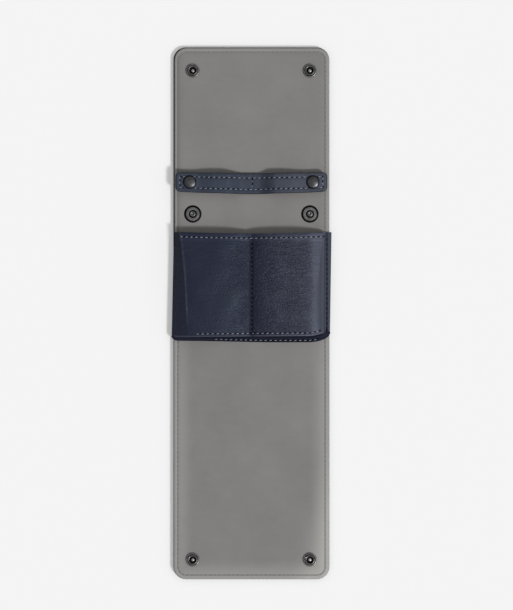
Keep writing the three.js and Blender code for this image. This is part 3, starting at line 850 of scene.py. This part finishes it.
def sew_along(first, last, surface, pitch=pocket_pitch, stitch=pocket_stitch, width=row_width, index=0):
    count = round((last - first).length / pitch)
    heading = (last - first).normalized()
    for k in range(count):
        middle = first + (last - first) * (k + 0.5) / count
        slant = Vector((-heading.y, heading.x)) * hand.uniform(0.05, 0.12) * stitch
        ends = (middle - heading * stitch / 2 - slant, middle + heading * stitch / 2 + slant)
        sew(row_bm, *(surface(*end) + stitch_lift for end in ends), width, pitch - stitch, index)


def sew_across(first_x, last_x, line, surface):
    count = round((last_x - first_x) / pocket_pitch)
    for k in range(count):
        x, following = (first_x + (last_x - first_x) * step / count for step in (k, k + 1))
        sew_along(Vector((x, line(x))), Vector((following, line(following))), surface)


flange_surface = above_floor(0.85 * mm)
sew_across(-51.5 * mm, 51.5 * mm, lambda x: mouth_line(x) - mouth_seam_depth, pocket_place)
sew_across(-40 * mm, 49 * mm, lambda x: foot_line(x) + foot_seam_rise, pocket_place)
sew_across(-27 * mm, 47.5 * mm, lambda x: gusset_edge(x) + gusset_seam_rise, above_floor(0.8 * mm))
seam_top, seam_end = (Vector((middle_seam_x, y)) for y in (mouth_y - hem_depth, foot_y + foot_seam_rise))
sew_along(seam_top, seam_end, pocket_place, 3.2 * mm, 1.3 * mm, 0.4 * mm, 2)
seam_top, seam_end = (Vector((side_seam_x, y)) for y in (mouth_y - 1 * mm, foot_y + 5 * mm))
sew_along(seam_top, seam_end, flange_surface, stitch=1.5 * mm, width=0.4 * mm, index=2)
bar_centre = Vector((53.6 * mm, foot_y + 3.6 * mm))
for k in range(bar_stitches):
    x = bar_centre.x + (k - 2) * bar_step
    ends = (flange_surface(x, bar_centre.y + end) for end in (-bar_reach, bar_reach))
    sew(row_bm, *ends, row_width, thread_index=1)
knot = flange_surface(55.3 * mm, foot_y + 1.4 * mm)
sew(row_bm, knot, knot + Vector((0.6 * mm, 0.5 * mm, 0)), 1.1 * mm, thread_index=1)
pocket_threads = [navy_thread, needle_hole.material, deep_navy_thread]
piece_from("pocket_thread", row_bm, pocket_threads, "pocket_leather", body="back")

# Inside of the pocket: grey suede that follows the front in each compartment, and a folded divider whose feet
# are sewn to the back and whose top edge carries the middle seam.
inner_gap, inner_ply, divider_half = in_mm(0.2, 0.6, 0.8)
divider_foot, divider_bend, divider_inset = in_mm(4.5, 1.2, 0.8)
divider_length = pocket_length - 2 * divider_inset
inner_columns, inner_rows = 48, 30
divider_columns, divider_rows = 80, 24
wall_share = 0.25


def inner_point(side, out_share, share):
    """The upper side of a compartment's lining, from the divider out to the foot of the wall."""
    across_share = (1 + side * out_share) / 2
    near, crest = divider_half + inner_gap, crest_at(side, share)
    if across_share <= 1 - wall_share:
        across = near + (crest - near) * across_share / (1 - wall_share)
        lift = pocket_top(across, side, share)
    else:
        across, lift = along_wall(side, share, (across_share - 1 + wall_share) / wall_share)
    drawn_in = 0.6 * mm + 0.8 * mm * across_share
    across = max(near, across - drawn_in * eased((across - near) / (6 * mm)))
    y = between((mouth_y - 1.2 * mm, foot_line(side * across) + 0.5 * mm), share)
    return on_floor(side * across, y, max(lift - front_ply - inner_gap, inner_ply))


def divider_point(out_share, share):
    """Half of the folded strip, from the end of its foot up to the fold."""
    left = 1 - abs(out_share)
    top = crown_top(share) - seam_dip - front_ply - inner_gap
    if left < 0.35:
        across = divider_foot + (divider_half + divider_bend - divider_foot) * left / 0.35
        lift = inner_ply
    elif left < 0.5:
        angle = pi / 2 * (left - 0.35) / 0.15
        across = divider_half + divider_bend * (1 - sin(angle))
        lift = inner_ply + divider_bend * (1 - cos(angle))
    elif left < 0.85:
        across = divider_half
        lift = between((inner_ply + divider_bend, top - divider_half), (left - 0.5) / 0.35)
    else:
        angle = pi / 2 * (left - 0.85) / 0.15
        across = divider_half * cos(angle)
        lift = top - divider_half * (1 - sin(angle))
    y = mouth_y - divider_inset - divider_length * share
    return on_floor(side_of(out_share) * across, y, lift)


def flat_size(columns, point, length=None):
    """The size a sheet was cut to: along its section halfway down, and its length."""
    section = [point(2 * column / columns - 1, 0.5) for column in range(columns + 1)]
    width = sum((there - here).length for here, there in zip(section, section[1:]))
    return width, length or (point(0, 0) - point(0, 1)).length


for name, side in sides.items():
    surface = partial(inner_point, side)
    inner_bm = formed(inner_columns, inner_rows, surface, inner_ply)
    nodes = ["pocket_lining_" + name]
    inner = piece_from("compartment_lining_" + name, inner_bm, [suede_lining], "suede_lining", nodes, "back")
    flat_size(inner_columns, surface)
nodes, divider_bm = ["pocket_divider"], formed(divider_columns, divider_rows, divider_point, inner_ply)
divider = piece_from("compartment_divider", divider_bm, [suede_lining], "suede_lining", nodes, "back")
cut_size = flat_size(divider_columns, divider_point, divider_length)

# Keeper strap: a smooth navy ply over a backing ply, sewn together round the edge, lightly filled between the
# two rows, and sewn through to the panel at its middle. Each half arches over one watch band.


def middle_of(node):
    low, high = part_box(node)
    return (low + high) / 2


strap_y = middle_of("strap_leather_centre").y
strap_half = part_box("strap_leather_right")[1].x
snap_x = middle_of("strap_cap_right").x
strap_half_y, strap_corner, strap_inset, strap_seam_corner = in_mm(7, 3.3, 3.1, 0.9)
strap_anchor, strap_ramp, strap_flat_x, strap_hinge_reach = in_mm(5, 13, 39.3, 3)
strap_arch, strap_seat, strap_rest = in_mm(6.6, 4.175, 0.0625)
backing_ply, backing_inset, ply_gap, top_ply = in_mm(1.2, 0.25, 0.3, 1.25)
strap_columns, strap_rows = 84, 28
strap_bow, strap_bow_middle, strap_swell = 1.2 * mm, 0.8, 0.06
strap_paint_width = 0.55 * mm
cap_clear = 4.9 * mm


def strap_outline_y(x, y):
    """The strap sags a little at its middle and is widest there."""
    out = (x / strap_half) ** 2
    return strap_y + y * (1 + strap_swell * (1 - out)) + strap_bow * (out - strap_bow_middle)


def strap_under(x):
    up = eased((abs(x) - strap_anchor) / strap_ramp)
    down = eased((abs(x) - strap_flat_x + strap_ramp) / strap_ramp)
    return strap_rest + (strap_arch - strap_rest) * up + (strap_seat - strap_arch) * down


def strap_inside(x, y):
    over_x = max(abs(x) - strap_half + strap_corner, 0)
    over_y = max(abs(y) - strap_half_y + strap_corner, 0)
    if over_x and over_y:
        return strap_corner - hypot(over_x, over_y)
    return min(strap_half - abs(x), strap_half_y - abs(y))


def strap_top(x, y):
    """The top ply's surface, with y from the strap's own middle line."""
    inside = strap_inside(x, y) / mm
    from_seam = inside - strap_inset / mm
    rise = 0.12 * bell(inside - 1.6, 0.8) - 0.5 * max(1 - inside / 0.8, 0) ** 2
    rise += 0.3 * eased((from_seam - 0.3) / 2.2) - 0.28 * bell(from_seam, 0.5)
    rise -= 0.35 * bell(x / mm - 0.75, 0.6)
    z = lining_top + strap_under(x) + backing_ply + ply_gap + top_ply + rise * mm
    return Vector((x, strap_outline_y(x, y), z))


def backing_top(x, y):
    z = lining_top + strap_under(x) + backing_ply + ply_gap / 2
    return Vector((x, strap_outline_y(x, y), z))


def strap_ply(side, shrink, surface, thickness):
    """Half a ply with rounded outer corners. The full-sized one has a painted edge."""
    bm = grid(strap_columns, strap_rows)
    corner = strap_corner - shrink
    for vertex in bm.verts:
        y = vertex.co.y * (strap_half_y - shrink)
        over = max(abs(y) - (strap_half_y - strap_corner), 0)
        draw_in = corner - sqrt(max(corner**2 - over**2, 0))
        x = (1 + side * vertex.co.x) / 2 * (strap_half - shrink)
        into_corner = max(0, x - (strap_half - strap_corner)) / corner
        vertex.co = (side * (x - draw_in * into_corner), y, 0)
    ops.remove_doubles(bm, verts=bm.verts[:], dist=0.005 * mm)
    for face in bm.faces:
        inside = strap_inside(*face.calc_center_median().xy)
        face.material_index = int(not shrink and inside < strap_paint_width)
    for vertex in bm.verts:
        vertex.co = surface(*vertex.co.xy)
    bm.normal_update()
    ops.solidify(bm, geom=bm.faces[:], thickness=thickness)
    return bm


def smoother_middle(finish, place):
    """Smoother between the seams, where the strap is filled, than along its edges."""
    return finish.fade(abs(finish.axis(place, "Y") - strap_y), 2.2 * mm, 4.5 * mm, 0.45, 1)


def strap_piece(name, side, bm, materials, nodes=()):
    piece = piece_from(f"strap_{name}_{side}", bm, materials, "strap_leather", nodes)
    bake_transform(piece)


# Painted light: the strap grows lighter towards the right.
strap_leather = leather_finish(
    "strap_leather", rgb(54, 60, 72), rgb(36, 40, 52), 1.1, 0.09, 0.58, 0.25,
    grain_mask=smoother_middle, painted_light_tone=rgb(72, 75, 84),
)
backing_leather = leather_finish(
    "strap_backing", rgb(34, 38, 52), rgb(22, 24, 36), 0.9, 0.05, 0.6, 0.2
)
for name, side in sides.items():
    top_bm = strap_ply(side, 0, strap_top, top_ply)
    nodes = ["strap_leather_" + name, "strap_leather_centre"]
    strap_piece("top", name, top_bm, [strap_leather, edge_paint.material], nodes)
    under_bm = strap_ply(side, backing_inset, backing_top, backing_ply)
    nodes = ["strap_backing_" + name, "strap_backing_centre"]
    strap_piece("under", name, under_bm, [backing_leather], nodes)

strap_thread_bm = {-1: bmesh.new(), 1: bmesh.new()}
seam_half_y = strap_half_y - strap_inset
strap_path = seam_round(
    pocket_pitch, strap_half - strap_inset, -seam_half_y, seam_half_y, strap_seam_corner
)
for point, heading in strap_path:
    if (Vector((abs(point.x) - snap_x, point.y))).length < cap_clear:
        continue
    reach = Matrix.Rotation(hand.uniform(0.08, 0.2), 2) @ heading * pocket_stitch / 2
    ends = (strap_top(*end) + stitch_lift for end in (point - reach, point + reach))
    sew(strap_thread_bm[side_of(point.x)], *ends, row_width, pocket_pitch - pocket_stitch)
anchor_x, anchor_pitch, anchor_reach, anchor_gap = in_mm(0.8, 3.3, 0.5, 2.2)
for k in range(2):
    y = (k - 0.5) * anchor_pitch
    ends = (strap_top(anchor_x, y + reach) + stitch_lift for reach in (-anchor_reach, anchor_reach))
    sew(strap_thread_bm[1], *ends, row_width, anchor_gap)
for name, side in sides.items():
    strap_piece("thread", name, strap_thread_bm[side], [navy_thread, needle_hole.material])

# Press studs: turned and plated dark. A domed cap outside is riveted to a socket inside, whose bore shows the
# bright end of the rivet. The studs have a wide dished base and a sprung post, and grip steel eyelets inside
# the panel. Profiles and rings are in millimetres.
spin_steps = 56
bore_radius = 2.45
seat_gap = 0.0625 * mm
above, below = lining_top + seat_gap, outer_low.z - seat_gap


def metal_finish(name, dark, light, roughness, scratch_depth):
    finish = Finish(name, {"Metallic": 1, "Roughness": roughness})
    place = finish.place()
    tarnish = finish.clouds(place, 2.5 * mm, 3, 0.6)
    marks = finish.clouds(finish.stretched(place, (1, 4, 1)), 0.5 * mm, 3, 0.65)
    finish.coloured(finish.fade(tarnish, 0.35, 0.7), dark, light)
    finish.feed("Roughness", roughness - 0.08 + marks * 0.16)
    finish.embossed(marks, scratch_depth)
    return finish.material


gunmetal = metal_finish("gunmetal", rgb(102, 102, 103), rgb(126, 126, 126), 0.32, 0.012 * mm)
cap_gunmetal = metal_finish("cap_gunmetal", rgb(66, 67, 70), rgb(80, 80, 83), 0.36, 0.012 * mm)
stud_gunmetal = metal_finish("stud_gunmetal", rgb(94, 94, 95), rgb(116, 116, 116), 0.34, 0.012 * mm)
# Near-black metal laid on rings of the parts: painted shade and painted dark reflection.
ring_shade_metal = metal_finish("painted_ring_shade", rgb(16, 16, 17), rgb(30, 30, 31), 0.55, 0.02 * mm)
nickel = metal_finish("rivet_nickel", rgb(132, 131, 129), rgb(160, 158, 156), 0.42, 0.02 * mm)


def turned(name, profile, at, z, direction, metal, body, nodes=(), rings=(), slot="gunmetal"):
    """Spins a profile of radii and heights about the middle of a node."""
    bm = bmesh.new()
    points = [bm.verts.new((radius * mm, 0, direction * height * mm)) for radius, height in profile]
    edges = [bm.edges.new(pair) for pair in zip(points, points[1:])]
    if profile[0][0]:
        edges.append(bm.edges.new((points[-1], points[0])))
    turn = {"cent": (0, 0, 0), "axis": (0, 0, 1), "angle": 2 * pi, "steps": spin_steps}
    ops.spin(bm, geom=points + edges, use_merge=True, **turn)
    ops.remove_doubles(bm, verts=bm.verts[:], dist=0.001 * mm)
    ops.recalc_face_normals(bm, faces=bm.faces[:])
    # Faces within the given rings get the near-black painted shade.
    for face in bm.faces:
        radius = face.calc_center_median().xy.length / mm
        face.material_index = int(any(inner < radius < outer for inner, outer in rings))
    middle = middle_of(at)
    ops.translate(bm, vec=(middle.x, middle.y, z), verts=bm.verts)
    piece_from(name, bm, [metal, ring_shade_metal] if rings else [metal], slot, nodes, body, smooth_below=50)


def shifted(radius, points):
    return [(radius + out, z) for out, z in points]


def dome(radius, rise, rim, shank_depth):
    """A cap's profile with its shank: a rolled rim and a shallow dome."""
    edge = shifted(radius, [(-0.3, 0), (-0.08, 0.08), (0, 0.22), (-0.03, rim), (-0.12, rim + 0.12)])
    inner, dome_rise = radius - 0.2, rise - rim - 0.2
    ball = (inner**2 + dome_rise**2) / (2 * dome_rise)
    widest = asin(inner / ball)
    angles = (widest * (1 - k / 8) for k in range(8))
    crown = [(ball * sin(angle), rise - ball * (1 - cos(angle))) for angle in angles]
    return [(0, -shank_depth), (1.5, -shank_depth), (1.5, 0), *edge, *crown, (0, rise)]


def socket(radius, ring):
    """A socket's profile: a rounded skirt, a groove, and a raised ring round its bore."""
    skirt = [(-0.3, 0), (-0.06, 0.14), (0, 0.5), (-0.02, 1.05), (-0.12, 1.25), (-0.28, 1.36)]
    groove = [(-0.78, 1.4), (-0.92, 1.3)]
    lip = [(0.66, 0.95), (0.5, 0.9), (0.42, 1.1), (0.4, 2.3), (0.33, 2.78), (0.16, 2.96), (0, 3)]
    bore = shifted(bore_radius, [(0.2, 2.8), (0.03, 2.5), (0, 2), (0, 0.5)])
    lip, skirt = shifted(ring, lip + [(-0.18, 2.98)]), shifted(radius, skirt + groove)
    return [(1.3, 0), *skirt, *lip, *bore, (1.3, 0.45)]


def stud(base):
    """A stud's profile: a steep rim, a low cone, a deep ring and a dimpled post."""
    inner_rise = 0.62 + 0.13 * (base - 4)
    rim_width = 0.9 + 0.25 * (base - 4)
    rim = [(-0.2, 0), (-0.02, 0.06), (0, 0.14), (-0.1, 0.26), (-0.4, 0.46), (-0.65, 0.57), (-0.9, 0.62)]
    return [
        (0, -1.2), (1.5, -1.2), (1.5, 0), *shifted(base, rim), (base - rim_width, 0.46 + 0.26 * inner_rise),
        (3.1, inner_rise), (2.92, inner_rise - 0.06), (2.78, 0.12), (2.02, 0.12), (1.92, 0.7), (2.02, 1.3),
        (2.14, 1.85), (2.1, 2.25), (1.92, 2.56), (1.62, 2.72), (1.25, 2.74), (1, 2.6), (0.7, 2.3),
        (0.4, 2.14), (0, 2.12),
    ]


rivet_shank = [(0, -0.3), (1.45, -0.3), (1.45, 0.3)]
rivet = rivet_shank + [(1.38, 0.55), (1.18, 0.78), (0.85, 0.92), (0.45, 0.98), (0, 1)]
rivet_lift = 0.5 * mm
# Painted shade rings in the sockets' bores and round the studs' posts; dark outlines on the strap caps' rims
# and the studs' outer rims.
bore_ring, cap_ring = [(1.2, bore_radius + 0.02)], [(4.15, 4.8)]
stud_rings, small_stud_rings = [(1.93, 2.9), (4.75, 6.3)], [(1.93, 2.9), (3.7, 4.35)]
for name in sides:
    for flap in ("top_flap", "bottom_flap"):
        at, cap = f"{flap}_socket_{name}", [f"{flap}_cap_{name}"]
        turned(f"cap_{flap}_{name}", dome(6.25, 1.25, 0.35, 3.4), at, below, -1, cap_gunmetal, flap, cap)
        turned(f"socket_{flap}_{name}", socket(4.85, 3.05), at, above, 1, gunmetal, flap, [at], bore_ring)
        turned(f"rivet_{flap}_{name}", rivet, at, above + rivet_lift, 1, nickel, flap, slot="eyelet_steel")
    at = "middle_stud_" + name
    turned("stud_middle_" + name, stud(6.25), at, above, 1, stud_gunmetal, "back", [at], stud_rings)
    at = "flap_back_stud_" + name
    turned("stud_flap_back_" + name, stud(6.25), at, below, -1, stud_gunmetal, "top_flap", [at], stud_rings)
    at, half = "strap_stud_" + name, "strap_" + name
    turned("stud_strap_" + name, stud(4.3), at, above, 1, stud_gunmetal, "back", [at], small_stud_rings)
    z, nodes = lining_top + strap_seat - seat_gap, ["strap_socket_" + name]
    turned("socket_strap_" + name, socket(4, 2.78), at, z, -1, gunmetal, half, nodes, bore_ring)
    z, nodes = strap_top(middle_of(at).x, 0).z, ["strap_cap_" + name]
    turned("cap_strap_" + name, dome(4.7, 1.6, 0.6, 2.9), at, z, 1, cap_gunmetal, half, nodes, cap_ring)

eyelet_nickel = Finish("eyelet_nickel", {"Metallic": 1, "Roughness": 0.34})
eyelet_marks = eyelet_nickel.clouds(eyelet_nickel.node("ShaderNodeTexCoord", (), "Object"), 0.8 * mm, 3)
eyelet_nickel.coloured(eyelet_marks, rgb(170, 170, 168), rgb(206, 205, 201))
eyelet_nickel.embossed(eyelet_marks, 0.02 * mm)
for name in sides:
    for eyelet in ("middle_eyelet_", "flap_back_eyelet_", "strap_eyelet_"):
        dress(eyelet + name, eyelet_nickel)
